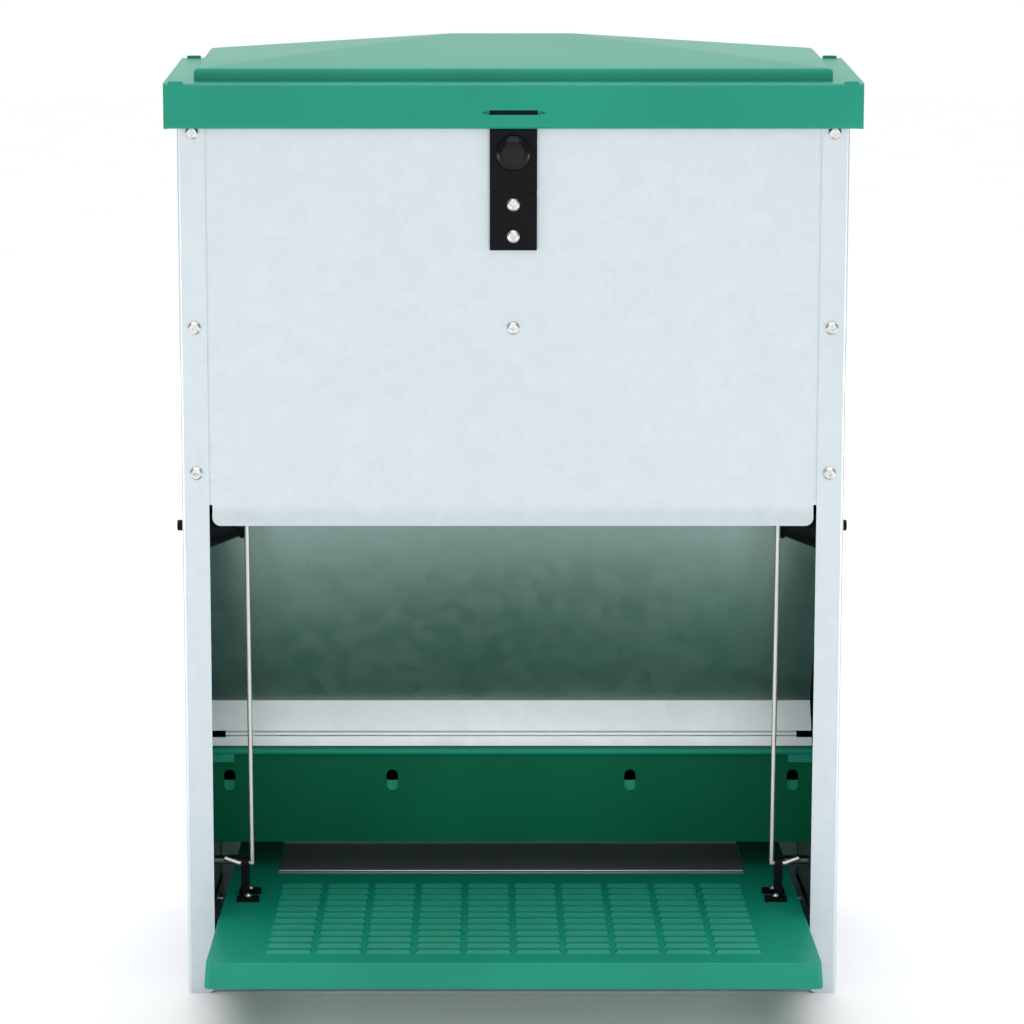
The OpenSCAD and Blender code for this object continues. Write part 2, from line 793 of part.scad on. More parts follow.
module flap_sheet() color(zinc) difference() {
    bead_room = 3 * bead_r;
    union() {
        bent_sheet(flap_path, sheet_t, flap_half);
        bar_x(-bead_half, bead_half, bead, bead_r);
    }
    both_sides() {
        for (s = [-rivet_s, rivet_s])
            rivet_at(s) cylinder(r = rivet_r + shank_slack, h = 8, center = true);
        box(
            [bead_half, bead.x - bead_room, bead.y - bead_r],
            [flap_half + over, bead.x + bead_room, bead.y + bead_r]
        );
    }
}

module flap_rivets() color(bright) both_sides() for (s = [-rivet_s, rivet_s]) rivet_at(s) {
    translate([0, 0, -2]) cylinder(r = rivet_r, h = 2 + sheet_t);
    translate([0, 0, sheet_t]) cylinder(r1 = 3.4, r2 = 2.4, h = 1.3);
}

// Treadle linkage

module pull_rod(side) color(bright) on_side(side) {
    top = [rod_x, eye.x, eye.y];
    low = [rod_x, hole.x, hole.y];
    turn = [post_x + post_t + wire_gap + wire_r, hole.x, hole.y];
    reach = norm(top - low);
    bar_x(rod_x, arm_x + arm_t + 2, eye, wire_r);
    bar_x(arm_x + arm_t + wire_gap, arm_x + arm_t + 2, eye, wire_r + 0.9);
    bar_x(rod_x, turn.x, hole, wire_r);
    translate(low) rotate([-atan2(top.y - low.y, top.z - low.z), 0, 0]) cylinder(r = wire_r, h = reach);
    for (at = [top, low, turn]) translate(at) sphere(wire_r + elbow_swell);
    translate(turn) rotate([0, 90 - tail_angle, 0]) cylinder(r = wire_r, h = tail_l);
}

// Children at each place of a grid that is centred on the grip ribs
module grip_grid(cols, rows)
    for (col = [0:cols - 1], row = [0:rows - 1])
        translate([
            (col - (cols - 1) / 2) * col_pitch,
            front_y - grip_mid + (row - (rows - 1) / 2) * row_pitch
        ])
            children();

module grip_slots()
    grip_grid(grip_cols, grip_rows - 1) square([grip_l - 2 * grip_h, grip_w], center = true);

// Ribs with a ridge along X and sloping ends
module grip_ribs() {
    half_w = (row_pitch - grip_w) / 2;
    half_l = grip_l / 2;
    mid_y = front_y - grip_mid;
    intersection() {
        for (row = [0:grip_rows - 1]) translate([0, mid_y + (row - (grip_rows - 1) / 2) * row_pitch, 0])
            along_x(-treadle_half, treadle_half)
                polygon([[-half_w, treadle_z], [half_w, treadle_z], [0, treadle_z + grip_h]]);
        for (col = [0:grip_cols - 1]) translate([(col - (grip_cols - 1) / 2) * col_pitch, 0, 0])
            along_y(plate_front, plate_rear) polygon([
                [-half_l, treadle_z], [half_l, treadle_z],
                [half_l - grip_h, treadle_z + grip_h], [grip_h - half_l, treadle_z + grip_h]
            ]);
    }
}

module treadle_outline() difference() {
    translate([-treadle_half, plate_front]) square([2 * treadle_half, ears_rear - plate_front]);
    translate([-ear_in, plate_rear]) square([2 * ear_in, ears_rear - plate_rear + over]);
}

module treadle_plate() color(green) difference() {
    union() {
        translate([0, 0, plate_under]) linear_extrude(treadle_t) difference() {
            treadle_outline();
            grip_slots();
        }
        grip_ribs();
        box(
            [-treadle_half, plate_front, skirt_under],
            [treadle_half, plate_front + treadle_wall, plate_under]
        );
        box([-ear_in, plate_rear - treadle_wall, skirt_under], [ear_in, plate_rear, plate_under]);
        both_sides() {
            box(
                [treadle_half - treadle_wall, plate_front, skirt_under],
                [treadle_half, ears_rear, plate_under]
            );
            box(
                [ear_in, plate_rear - treadle_wall, skirt_under],
                [ear_in + treadle_wall, ears_rear, plate_under]
            );
            bar_x(ear_in, treadle_half, axle, boss_r);
        }
    }
    both_sides() {
        bar_x(ear_in - over, treadle_half + over, axle, axle_r + run_gap);
        for (y = foot_screw_y)
            translate([foot_x, y, plate_under - over]) cylinder(r = bracket_shank_r + shank_slack, h = 10);
    }
    for (x = channel_screw_x) hole_y(
        x, skirt_under + channel_screw_h, plate_rear - 2 * treadle_wall, plate_rear + over,
        bracket_shank_r + shank_slack
    );
}

module treadle_channel() color(zinc) difference() {
    bent_sheet(channel_path, sheet_t, channel_half);
    for (x = channel_screw_x)
        hole_y(
            x, skirt_under + channel_screw_h, plate_rear - over, plate_rear + 3 * sheet_t,
            bracket_shank_r + shank_slack
        );
}

module channel_screws() color(bright) for (x = channel_screw_x)
    translate([x, plate_rear + sheet_t, skirt_under + channel_screw_h]) rotate([-90, 0, 0])
        pan_screw(treadle_wall + sheet_t, bracket_shank_r, bracket_head_r, bracket_head_h);

module rod_bracket(side) color(black) on_side(side) difference() {
    base = treadle_z;
    union() {
        for (end = [-1, 1])
            box(
                [foot_x - foot_w / 2, hole.x + end * (foot_l / 2 - 2.6) - 2.6, base],
                [foot_x + foot_w / 2, hole.x + end * (foot_l / 2 - 2.6) + 2.6, base + foot_t]
            );
        box([post_x, hole.x - foot_l / 2, base], [post_x + post_t, hole.x + foot_l / 2, base + foot_t]);
        box([post_x, hole.x - bracket_r, base], [post_x + post_t, hole.x + bracket_r, hole.y]);
        bar_x(post_x, post_x + post_t, hole, bracket_r);
    }
    bar_x(post_x - over, post_x + post_t + over, hole, wire_r + run_gap);
    for (y = foot_screw_y)
        translate([foot_x, y, base - over]) cylinder(r = bracket_shank_r + shank_slack, h = 10);
}

module bracket_screws() color(bright) both_sides() for (y = foot_screw_y)
    translate([foot_x, y, treadle_z + foot_t])
        pan_screw(foot_t + treadle_t + 2, bracket_shank_r, bracket_head_r, bracket_head_h);

module treadle_axle() color(bright)
    bar_x(-wall_x - 3, wall_x + 3, axle, axle_r);

module axle_cap(side) color(black) on_side(side) difference() {
    bar_x(wall_x + 0.2, wall_x + 4.5, axle, cap_r);
    bar_x(wall_x, wall_x + 3, axle, axle_r);
}

side_panel(-1);  // left_side_panel
side_panel(1);  // right_side_panel
front_panel();
back_panel();
base_tray();
hopper_baffle();
feed_trough();
front_screws();
back_screws();
side_screws();
latch_base();
latch_screws();
latch_tongue();
latch_button();
hinge_leaf(-1);  // left_hinge_leaf
hinge_leaf(1);  // right_hinge_leaf
hinge_screws();
hinge_pin(-1);  // left_hinge_pin
hinge_pin(1);  // right_hinge_pin
lid_shell();
flap_pin(-1);  // left_flap_pin
flap_pin(1);  // right_flap_pin
lever_arm(-1);  // left_lever_arm
lever_arm(1);  // right_lever_arm
flap_sheet();
flap_rivets();
pull_rod(-1);  // left_pull_rod
pull_rod(1);  // right_pull_rod
treadle_plate();
treadle_channel();
channel_screws();
rod_bracket(-1);  // left_rod_bracket
rod_bracket(1);  // right_rod_bracket
bracket_screws();
treadle_axle();
axle_cap(-1);  // left_axle_cap
axle_cap(1);  // right_axle_cap
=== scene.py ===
import json
import math

import bpy
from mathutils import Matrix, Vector

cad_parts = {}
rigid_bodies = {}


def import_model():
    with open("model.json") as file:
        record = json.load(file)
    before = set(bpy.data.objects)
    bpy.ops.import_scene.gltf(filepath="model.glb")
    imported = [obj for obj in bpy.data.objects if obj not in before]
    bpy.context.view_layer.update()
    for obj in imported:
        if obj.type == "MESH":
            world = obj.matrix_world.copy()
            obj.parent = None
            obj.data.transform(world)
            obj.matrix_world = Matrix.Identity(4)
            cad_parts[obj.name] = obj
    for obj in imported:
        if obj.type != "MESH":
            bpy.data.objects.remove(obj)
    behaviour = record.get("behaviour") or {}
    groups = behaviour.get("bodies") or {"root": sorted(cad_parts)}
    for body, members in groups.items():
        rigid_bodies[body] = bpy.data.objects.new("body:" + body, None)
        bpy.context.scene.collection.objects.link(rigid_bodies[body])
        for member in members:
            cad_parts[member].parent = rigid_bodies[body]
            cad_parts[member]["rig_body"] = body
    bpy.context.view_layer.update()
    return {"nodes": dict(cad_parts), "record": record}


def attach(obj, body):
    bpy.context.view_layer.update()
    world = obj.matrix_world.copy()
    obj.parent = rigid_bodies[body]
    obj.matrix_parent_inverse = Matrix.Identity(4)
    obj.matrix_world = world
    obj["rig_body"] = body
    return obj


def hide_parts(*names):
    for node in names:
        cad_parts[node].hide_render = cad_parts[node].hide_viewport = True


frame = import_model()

NODES = frame["nodes"]
MM = 0.001
SIDES = {"left": -1, "right": 1}


# ---------------------------------------------------------------- hand tools

def only(piece):
    """Selects one object and nothing else."""
    if bpy.context.object and bpy.context.object.mode != "OBJECT":
        bpy.ops.object.mode_set(mode="OBJECT")
    bpy.ops.object.select_all(action="DESELECT")
    piece.select_set(True)
    bpy.context.view_layer.objects.active = piece


def pick(piece, kind, test):
    """Enters edit mode with just the VERT, EDGE or FACE elements that pass the test selected."""
    only(piece)
    mesh = piece.data
    for elements in (mesh.vertices, mesh.edges, mesh.polygons):
        elements.foreach_set("select", [False] * len(elements))
    bpy.context.tool_settings.mesh_select_mode = [kind == k for k in ("VERT", "EDGE", "FACE")]
    elements = {"VERT": mesh.vertices, "EDGE": mesh.edges, "FACE": mesh.polygons}[kind]
    for element in elements:
        element.select = test(element)
    bpy.ops.object.mode_set(mode="EDIT")


def ends(piece, edge):
    return [piece.data.vertices[i].co for i in edge.vertices]


def done():
    bpy.ops.object.mode_set(mode="OBJECT")


def near(a, b, slack=0.05 * MM):
    return abs(a - b) < slack


def settle(piece):
    """Puts the piece's place into its mesh."""
    only(piece)
    bpy.ops.object.transform_apply(location=True, rotation=True, scale=True)
    return piece


def block(name, low, high):
    """A box between two corners, to be shaped further."""
    low, high = Vector(low), Vector(high)
    bpy.ops.object.select_all(action="DESELECT")
    bpy.ops.mesh.primitive_cube_add(size=1, location=(low + high) / 2)
    piece = bpy.context.object
    piece.name = name
    piece.scale = high - low
    return settle(piece)


def rod_x(name, x0, x1, y, z, radius, vertices=32):
    """A round bar along X, to be shaped further."""
    bpy.ops.object.select_all(action="DESELECT")
    bpy.ops.mesh.primitive_cylinder_add(
        vertices=vertices, radius=radius, depth=abs(x1 - x0),
        location=((x0 + x1) / 2, y, z), rotation=(0, math.pi / 2, 0))
    piece = bpy.context.object
    piece.name = name
    return settle(piece)


def modify(piece, kind, **settings):
    """Adds a modifier and applies it at once."""
    only(piece)
    modifier = piece.modifiers.new(kind.title(), kind)
    for key, value in settings.items():
        setattr(modifier, key, value)
    bpy.ops.object.modifier_apply(modifier=modifier.name)
    return piece


def soften(piece, width, segments=2, angle=30):
    """Rounds every edge that is sharper than the angle, and keeps the flat faces flat."""
    modify(piece, "BEVEL", width=width, segments=segments, limit_method="ANGLE",
           angle_limit=math.radians(angle), use_clamp_overlap=True)
    smooth(piece)
    return modify(piece, "WEIGHTED_NORMAL", keep_sharp=True)


def smooth(piece, angle=40):
    only(piece)
    bpy.ops.object.shade_smooth_by_angle(angle=math.radians(angle))
    return piece


def shift(piece, test, move):
    """Moves the vertices that pass the test."""
    pick(piece, "VERT", lambda v: test(v.co))
    bpy.ops.transform.translate(value=move)
    done()


def slice_at(piece, place, normal):
    """Adds an edge loop where a plane meets the piece."""
    pick(piece, "FACE", lambda face: True)
    bpy.ops.mesh.bisect(plane_co=place, plane_no=normal)
    done()


def arrayed(piece, count, step):
    return modify(piece, "ARRAY", count=count, use_relative_offset=False,
                  use_constant_offset=True, constant_offset_displace=step)


def cut(piece, *cutters):
    """Takes the cutters out of the piece."""
    for cutter in cutters:
        modify(piece, "BOOLEAN", object=cutter, operation="DIFFERENCE", solver="EXACT")
        bpy.data.objects.remove(cutter)
    return piece


def joined(name, pieces):
    only(pieces[0])
    for piece in pieces:
        piece.select_set(True)
    bpy.ops.object.join()
    pieces[0].name = name
    return pieces[0]


# ---------------------------------------------------------------- materials

class Wire:
    """A socket in one material's tree, with arithmetic."""

    def __init__(self, finish, socket):
        self.finish, self.socket = finish, socket

    def math(self, operation, *values):
        return self.finish.node("ShaderNodeMath", {"operation": operation}, values)

    def __add__(self, other):
        return self.math("ADD", self, other)

    __radd__ = __add__

    def __sub__(self, other):
        return self.math("SUBTRACT", self, other)

    def __rsub__(self, other):
        return self.math("SUBTRACT", other, self)

    def __mul__(self, other):
        return self.math("MULTIPLY", self, other)

    __rmul__ = __mul__

    def between(self, low, high, to_low=0.0, to_high=1.0):
        return self.finish.node(
            "ShaderNodeMapRange", {"clamp": True}, (self, low, high, to_low, to_high))


class Finish:
    """One material: its tree, its coordinates and its shader."""

    def __init__(self, name):
        self.material = bpy.data.materials.new(name)
        self.material.use_nodes = True
        self.tree = self.material.node_tree
        self.shader = self.tree.nodes["Principled BSDF"]
        self.place = self.node("ShaderNodeTexCoord", {}, (), out="Object")

    def node(self, kind, settings, values, out=0):
        made = self.tree.nodes.new(kind)
        for key, value in settings.items():
            setattr(made, key, value)
        values = values.items() if isinstance(values, dict) else enumerate(values)
        for key, value in values:
            self.plug(made.inputs[key], value)
        return Wire(self, made.outputs[out])

    def plug(self, socket, value):
        if isinstance(value, Wire):
            self.tree.links.new(value.socket, socket)
        elif value is not None:
            socket.default_value = value

    def set(self, **values):
        for key, value in values.items():
            self.plug(self.shader.inputs[key.replace("_", " ")], value)

    def stretched(self, x, y, z, slant=0.0):
        return self.node("ShaderNodeMapping", {"vector_type": "TEXTURE"}, {
            "Vector": self.place, "Rotation": (0, slant, 0), "Scale": (1 / x, 1 / y, 1 / z)})

    def noise(self, scale, detail=2.0, rough=0.5, where=None):
        return self.node("ShaderNodeTexNoise", {}, {
            "Vector": where or self.place, "Scale": scale, "Detail": detail, "Roughness": rough})

    def cells(self, scale, where=None):
        """A random grey for each cell."""
        cell = self.node("ShaderNodeTexVoronoi", {}, {
            "Vector": where or self.place, "Scale": scale}, out="Color")
        return self.node("ShaderNodeSeparateColor", {}, (cell,))

    def mix(self, share, low, high):
        made = self.tree.nodes.new("ShaderNodeMix")
        made.data_type = "RGBA"
        for key, value in zip((0, 6, 7), (share, low, high)):
            self.plug(made.inputs[key], value)
        return Wire(self, made.outputs[2])

    def bump(self, height, depth, strength=1.0):
        return self.node("ShaderNodeBump", {}, {
            "Height": height, "Distance": depth, "Strength": strength})


def rgb(r, g, b):
    return (r, g, b, 1.0)


def galvanised(name="galvanised", light=rgb(0.67, 0.735, 0.765), dark=rgb(0.58, 0.65, 0.685),
               rough=0.36, metal=0.92):
    """Zinc-coated sheet: faint crystals, clouds, mill streaks and a few slanting scratches."""
    f = Finish(name)
    crystals = f.cells(95)
    small = f.cells(230)
    clouds = f.noise(7, 3)
    streaks = f.noise(1, 3, where=f.stretched(600, 600, 14))
    tone = crystals * 0.22 + small * 0.14 + clouds * 0.46 + streaks * 0.18
    scratches = f.noise(1, 2, 0.6, where=f.stretched(420, 420, 16, math.radians(28))).between(0.7, 0.76)
    scratches = scratches * f.noise(6, 1).between(0.5, 0.6)
    f.set(Base_Color=f.mix(tone.between(0.15, 0.85) + scratches * 0.5, dark, light), Metallic=metal,
          Roughness=rough + crystals * 0.05 + clouds * 0.08 - scratches * 0.1,
          Normal=f.bump(crystals * 0.3 + streaks * 0.35 + small * 0.2 - scratches * 0.8, 0.04 * MM, 0.35))
    return f.material


def zinc_screw():
    """Bright plated fasteners with slightly dulled patches at random."""
    f = Finish("zinc_screw")
    grime = f.noise(420, 3)
    f.set(Base_Color=f.mix(grime.between(0.35, 0.75), rgb(0.8, 0.8, 0.79), rgb(0.5, 0.5, 0.49)),
          Metallic=1.0, Roughness=0.2 + grime * 0.16,
          Normal=f.bump(f.noise(1500, 2), 0.03 * MM, 0.3))
    return f.material


def drawn_wire():
    """Plain steel wire with lengthwise drawing marks."""
    f = Finish("drawn_wire")
    marks = f.noise(1, 3, where=f.stretched(2600, 2600, 30))
    dull = f.noise(60, 2)
    f.set(Base_Color=f.mix(marks * 0.6 + dull * 0.4, rgb(0.5, 0.5, 0.48), rgb(0.78, 0.77, 0.74)),
          Metallic=1.0, Roughness=0.28 + dull * 0.14, Normal=f.bump(marks, 0.05 * MM, 0.4))
    return f.material


def green_plastic(name="green_plastic", deep=rgb(0.001, 0.245, 0.155), pale=rgb(0.003, 0.285, 0.185),
                  rough=0.36, shine=0.34):
    """Moulded green plastic: a fine leathery skin, flow clouds and a few scuffs."""
    f = Finish(name)
    clouds = f.noise(9, 3)
    skin = f.noise(900, 3, 0.6)
    scuffs = f.noise(1, 4, 0.75, where=f.stretched(30, 140, 60)).between(0.68, 0.74)
    f.set(Base_Color=f.mix(clouds.between(0.3, 0.7) + scuffs * 0.3, deep, pale),
          Roughness=rough + skin * 0.1 + clouds * 0.05 + scuffs * 0.08,
          Normal=f.bump(skin, 0.05 * MM, 0.35))
    f.set(Specular_IOR_Level=shine)
    return f.material


def black_plastic(name="black_plastic", rough=0.42, grain=0.4, shine=0.12):
    """Moulded black plastic with a fine grain and pale rub marks."""
    f = Finish(name)
    skin = f.noise(1100, 3, 0.6)
    rubs = f.noise(45, 4, 0.7).between(0.62, 0.75)
    f.set(Base_Color=f.mix(rubs * 0.5, rgb(0.003, 0.0035, 0.005), rgb(0.018, 0.02, 0.024)),
          Roughness=rough + skin * 0.12 - rubs * 0.06, Normal=f.bump(skin, 0.05 * MM, grain))
    f.set(Specular_IOR_Level=shine)
    return f.material


def pale_floor():
    f = Finish("pale_floor")
    f.set(Base_Color=f.mix(f.noise(3, 2), rgb(0.9, 0.9, 0.9), rgb(0.94, 0.94, 0.94)), Roughness=0.75)
    return f.material


GALVANISED = galvanised()
# A darker copy of the galvanised sheet: painted shade for the faces inside the body and for the flap.
SHADED_SHEET = galvanised("galvanised_painted_shade", rgb(0.36, 0.47, 0.445), rgb(0.32, 0.42, 0.4), 0.26, 1.0)
# A brighter copy of the galvanised sheet: painted highlight on the flap's lower strip and on the channel's
# hem beads.
LIT_SHEET = galvanised("galvanised_painted_highlight", rgb(0.9, 0.95, 0.95), rgb(0.82, 0.88, 0.88), 0.42)
ZINC = zinc_screw()
WIRE = drawn_wire()
GREEN = green_plastic()
# A darker copy of the green plastic: painted shade for the trough, which sits under the front panel.
SHADED_GREEN = green_plastic("green_plastic_painted_shade", rgb(0, 0.105, 0.047), rgb(0, 0.125, 0.06), 0.45, 0.1)
BLACK = black_plastic()
GLOSS_BLACK = black_plastic("gloss_black_plastic", rough=0.05, grain=0.04, shine=0.22)


def coat(piece, material):
    piece.data.materials.clear()
    piece.data.materials.append(material)


def fit(piece, body, slot, material, *nodes):
    """Coats the piece, lets it move with its body and stand for its CAD nodes."""
    coat(piece, material)
    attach(piece, body)
    if nodes:
        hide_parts(*nodes)
    return piece


def paint(piece, material, test):
    """Gives the faces that pass the test a second material."""
    piece.data.materials.append(material)
    pick(piece, "FACE", lambda face: test(face.center, face.normal))
    piece.active_material_index = len(piece.data.materials) - 1
    bpy.ops.object.material_slot_assign()
    done()
    return piece


def dressed(name, node, material, width=0.35 * MM, segments=2, angle=30):
    """A copy of a CAD node with its edges rounded as the real part's are, which stands for it."""
    source = NODES[node]
    piece = bpy.data.objects.new(name, source.data.copy())
    bpy.context.scene.collection.objects.link(piece)
    pick(piece, "VERT", lambda v: True)
    bpy.ops.mesh.remove_doubles(threshold=0.002 * MM)
    bpy.ops.mesh.dissolve_limited(angle_limit=math.radians(1))
    done()
    if piece.data.has_custom_normals:
        bpy.ops.mesh.customdata_custom_splitnormals_clear()
    if width:
        soften(piece, width, segments, angle)
    else:
        smooth(piece)
    slot = next(s["material_slot"] for s in frame["record"]["subparts"] if s["node"] == node)
    return fit(piece, source["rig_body"], slot, material, node)


# ---------------------------------------------------------------- stage

def camera():
    """Level with the lid and in front of it; tipped down a little instead of shifted all the way."""
    eye = Vector((-16.5, -1753, 581)) * MM
    bpy.ops.object.camera_add(location=eye, rotation=(math.radians(90 - 7.62), 0, 0))
    cam = bpy.context.object
    cam.data.lens = 99.6
    cam.data.shift_x = 0.0264
    cam.data.shift_y = -0.107
    cam.data.clip_end = 50
    bpy.context.scene.camera = cam


def area(name, place, aim, size, power):
    bpy.ops.object.light_add(type="AREA", location=place)
    lamp = bpy.context.object
    lamp.name = name
    lamp.data.size = size
    lamp.data.energy = power
    lamp.visible_camera = False
    lamp.rotation_euler = (Vector(aim) - Vector(place)).to_track_quat("-Z", "Y").to_euler()


def studio():
    """A pale room with wide light from above, softboxes before and behind, and two small side lamps."""
    world = bpy.data.worlds.new("white_room")
    bpy.context.scene.world = world
    world.use_nodes = True
    nodes, links = world.node_tree.nodes, world.node_tree.links
    back = nodes["Background"]
    back.inputs["Color"].default_value = rgb(0.95, 0.98, 1.0)
    back.inputs["Strength"].default_value = 0.38
    seen = nodes.new("ShaderNodeBackground")
    seen.inputs["Color"].default_value = rgb(1, 1, 1)
    seen.inputs["Strength"].default_value = 1.0
    ray = nodes.new("ShaderNodeLightPath")
    mix = nodes.new("ShaderNodeMixShader")
    links.new(ray.outputs["Is Camera Ray"], mix.inputs[0])
    links.new(back.outputs[0], mix.inputs[1])
    links.new(seen.outputs[0], mix.inputs[2])
    links.new(mix.outputs[0], nodes["World Output"].inputs[0])
    bpy.ops.object.light_add(type="SUN", location=(0, 0, 3), rotation=(math.radians(-14), 0, 0))
    top = bpy.context.object
    top.name = "top_light"
    top.data.energy = 2.4
    top.data.angle = math.radians(80)
    area("front_softbox", (0, -3.2, 0.75), (0, 0, 0.35), 2.2, 9)
    area("upper_softbox", (0, -1.9, 2.0), (0, -0.04, 0.14), 1.4, 9)
    for name, side in SIDES.items():
        area(f"{name}_glint", (side * 1.2, -0.95, 0.12), (0, -0.1, 0.5), 0.35, 4)
    area("back_softbox", (0, 3.0, 1.0), (0, 0, 0.55), 3.0, 26)
    bpy.context.scene.view_settings.view_transform = "Standard"


def floor():
    bpy.ops.mesh.primitive_plane_add(size=40)
    ground = bpy.context.object
    ground.name = "floor"
    coat(ground, pale_floor())


# ---------------------------------------------------------------- object

def housing():
    for name, side in SIDES.items():
        panel = dressed(f"{name}_side_sheet", f"{name}_side_panel", GALVANISED, 0.25 * MM)
        # Painted shade: the side panels' inward faces get the darker sheet.
        paint(panel, SHADED_SHEET, lambda at, n: n.x * side < -0.7 and abs(at.x) > 0.19)
    for node in ("back_panel", "front_panel"):
        sheet = dressed(f"{node}_sheet", node, GALVANISED, 0.25 * MM)
        inward = 1 if node == "front_panel" else -1
        # Painted shade: the inner faces of the front and back panels get the darker sheet.
        paint(sheet, SHADED_SHEET, lambda at, n: n.y * inward > 0.7)
    for node in ("base_tray", "hopper_baffle"):
        # Painted shade: the base tray and the baffle inside the body are all darker sheet.
        dressed(f"{node}_sheet", node, SHADED_SHEET, 0.25 * MM)
    # Painted shade: the trough gets the darker green, and only the faces at its front edge keep the
    # ordinary green, as if lit.
    trough = dressed("trough_moulding", "feed_trough", SHADED_GREEN, 0.6 * MM, 3)
    paint(trough, GREEN, lambda at, n: at.y < -0.0131 or (
        n.y < -0.9 and near(at.y, -0.0115, 0.2 * MM) and abs(abs(at.x) - 0.1265) < 0.06))


def fasteners():
    for node in ("front_screws", "back_screws", "side_screws", "latch_screws", "hinge_screws",
                 "channel_screws", "bracket_screws", "flap_rivets"):
        dressed(f"{node}_plated", node, ZINC, 0.25 * MM, 2, 25)
    for side in SIDES:
        dressed(f"{side}_leaf_plated", f"{side}_hinge_leaf", ZINC, 0.2 * MM)
        dressed(f"{side}_pin_drawn", f"{side}_hinge_pin", WIRE, 0.2 * MM)


LID_EDGE, LID_REACH, GABLE_RISE = 546.4 * MM, 111 * MM, 13.6 * MM


def lid_ledge(y):
    """Height of the lid's ledge, which rises to the middle of the depth."""
    return LID_EDGE + GABLE_RISE * (1 - abs(y) / LID_REACH)


def lid():
    """Skirt, gabled ledge and a raised panel with a short ridge, shaped from one box."""
    half, front, back = 0.2025, -LID_REACH, LID_REACH
    foot, top = 0.5205, LID_EDGE
    panel_x, ridge_x = 0.1855, 0.0374
    ledge_width, riser = 13 * MM, 7 * MM
    piece = block("lid_moulding", (-half, front, foot), (half, back, top))
    slice_at(piece, (0, 0, 0), (0, 1, 0))
    shift(piece, lambda v: near(v.y, 0) and near(v.z, top), (0, 0, GABLE_RISE))
    pick(piece, "FACE", lambda face: face.normal.z > 0.5)
    bpy.ops.mesh.inset(thickness=ledge_width, use_even_offset=True)
    bpy.ops.transform.resize(value=(panel_x / (half - ledge_width), 1, 1), center_override=(0, 0, 0))
    bpy.ops.mesh.extrude_region_move(TRANSFORM_OT_translate={"value": (0, 0, riser)})
    done()
    shift(piece, lambda v: near(v.y, 0) and near(abs(v.x), panel_x, 1 * MM) and v.z > 0.5665,
          (0, 0, -1 * MM))
    pick(piece, "EDGE", lambda e: all(near(v.y, 0) and v.z > 0.563 for v in ends(piece, e))
         and abs(ends(piece, e)[0].x - ends(piece, e)[1].x) > panel_x)
    bpy.ops.mesh.subdivide(number_cuts=2)
    done()
    for side in SIDES.values():
        shift(piece, lambda v: near(v.y, 0) and abs(v.x) < 0.1 and v.x * side > 0,
              (side * (ridge_x - panel_x / 3), 0, 9 * MM))
    for side in SIDES.values():
        for end in (-1, 1):
            pick(piece, "VERT", lambda v: v.co.z > 0.552 and (
                (near(v.co.x, side * ridge_x, 0.3 * MM) and near(v.co.y, 0))
                or (v.co.x * side > 0.18 and v.co.y * end > 0.09 and near(v.co.z, 0.555, 1.5 * MM))))
            bpy.ops.mesh.vert_connect()
            done()
    pick(piece, "EDGE", lambda e: all(abs(v.x) > half - 0.1 * MM and abs(v.y) > back - 0.1 * MM
                                      for v in ends(piece, e)))
    bpy.ops.mesh.bevel(offset=3 * MM, segments=5, affect="EDGES")
    done()
    rim = [v.co.copy() for v in piece.data.vertices
           if v.co.z > 0.552 and 0.183 < abs(v.co.x) < 0.187
           and v.co.z - lid_ledge(v.co.y) > 5 * MM]
    pick(piece, "EDGE", lambda e: all(any((v - r).length < 0.01 * MM for r in rim) for v in ends(piece, e)))
    bpy.ops.mesh.bevel(offset=2.4 * MM, segments=4, affect="EDGES")
    done()
    pick(piece, "EDGE", lambda e: min(v.z for v in ends(piece, e)) > 0.5525
         and max(v.z for v in ends(piece, e)) > 0.5745
         and abs(ends(piece, e)[0].y - ends(piece, e)[1].y) > 40 * MM)
    bpy.ops.mesh.bevel(offset=1.2 * MM, segments=2, affect="EDGES")
    done()
    pick(piece, "FACE", lambda face: face.normal.z < -0.9)
    bpy.ops.mesh.delete(type="FACE")
    done()
    modify(piece, "SOLIDIFY", thickness=2.5 * MM, offset=-1, use_even_offset=True)
    slot = block("slot", (-13.9 * MM, front - 2 * MM, 528.7 * MM), (13.9 * MM, front + 6 * MM, 531.3 * MM))
    tips = block("tips", (-18.2 * MM, front - 2 * MM, 528.7 * MM),
                 (18.2 * MM, front + 1.6 * MM, 531.3 * MM))
    for side in SIDES.values():
        slice_at(tips, (side * 14.5 * MM, 0, 0), (1, 0, 0))
    for side in SIDES.values():
        pick(tips, "VERT", lambda v: v.co.x * side > 18 * MM)
        bpy.ops.transform.resize(value=(1, 1, 0.25), center_override=(0, 0, 530 * MM))
        done()
    cut(piece, slot, tips)
    extras = []
    for side in SIDES.values():
        for y, z in ((front + 2.6 * MM, 0.5464), (0, 0.56), (back - 2.6 * MM, 0.5464)):
            lug = block("lug", (side * 195.2 * MM - 4.2 * MM, y - 1.5 * MM, z - 2 * MM),
                        (side * 195.2 * MM + 4.2 * MM, y + 1.5 * MM, z + 1.5 * MM))
            extras.append(soften(lug, 0.6 * MM, 3))
        for end in (-1, 1):
            x = side * 120 * MM + end * 14.8 * MM
            ear = rod_x("ear", x - 6.9 * MM, x + 6.9 * MM, 0.1076, 0.516, 3.2 * MM)
            pick(ear, "EDGE", lambda e: abs(ends(ear, e)[0].x - ends(ear, e)[1].x) < 1 * MM)
            bpy.ops.mesh.bevel(offset=0.5 * MM, segments=2, affect="EDGES")
            done()
            web = block("web", (x - 6.9 * MM, 0.1076, 0.516), (x + 6.9 * MM, 0.1108, 0.5225))
            extras += [smooth(ear), soften(web, 0.5 * MM)]
    soften(piece, 0.9 * MM, 3, 24)
    joined("lid_moulding", [piece] + extras)
    fit(piece, "lid", "green_plastic", GREEN, "lid_shell")


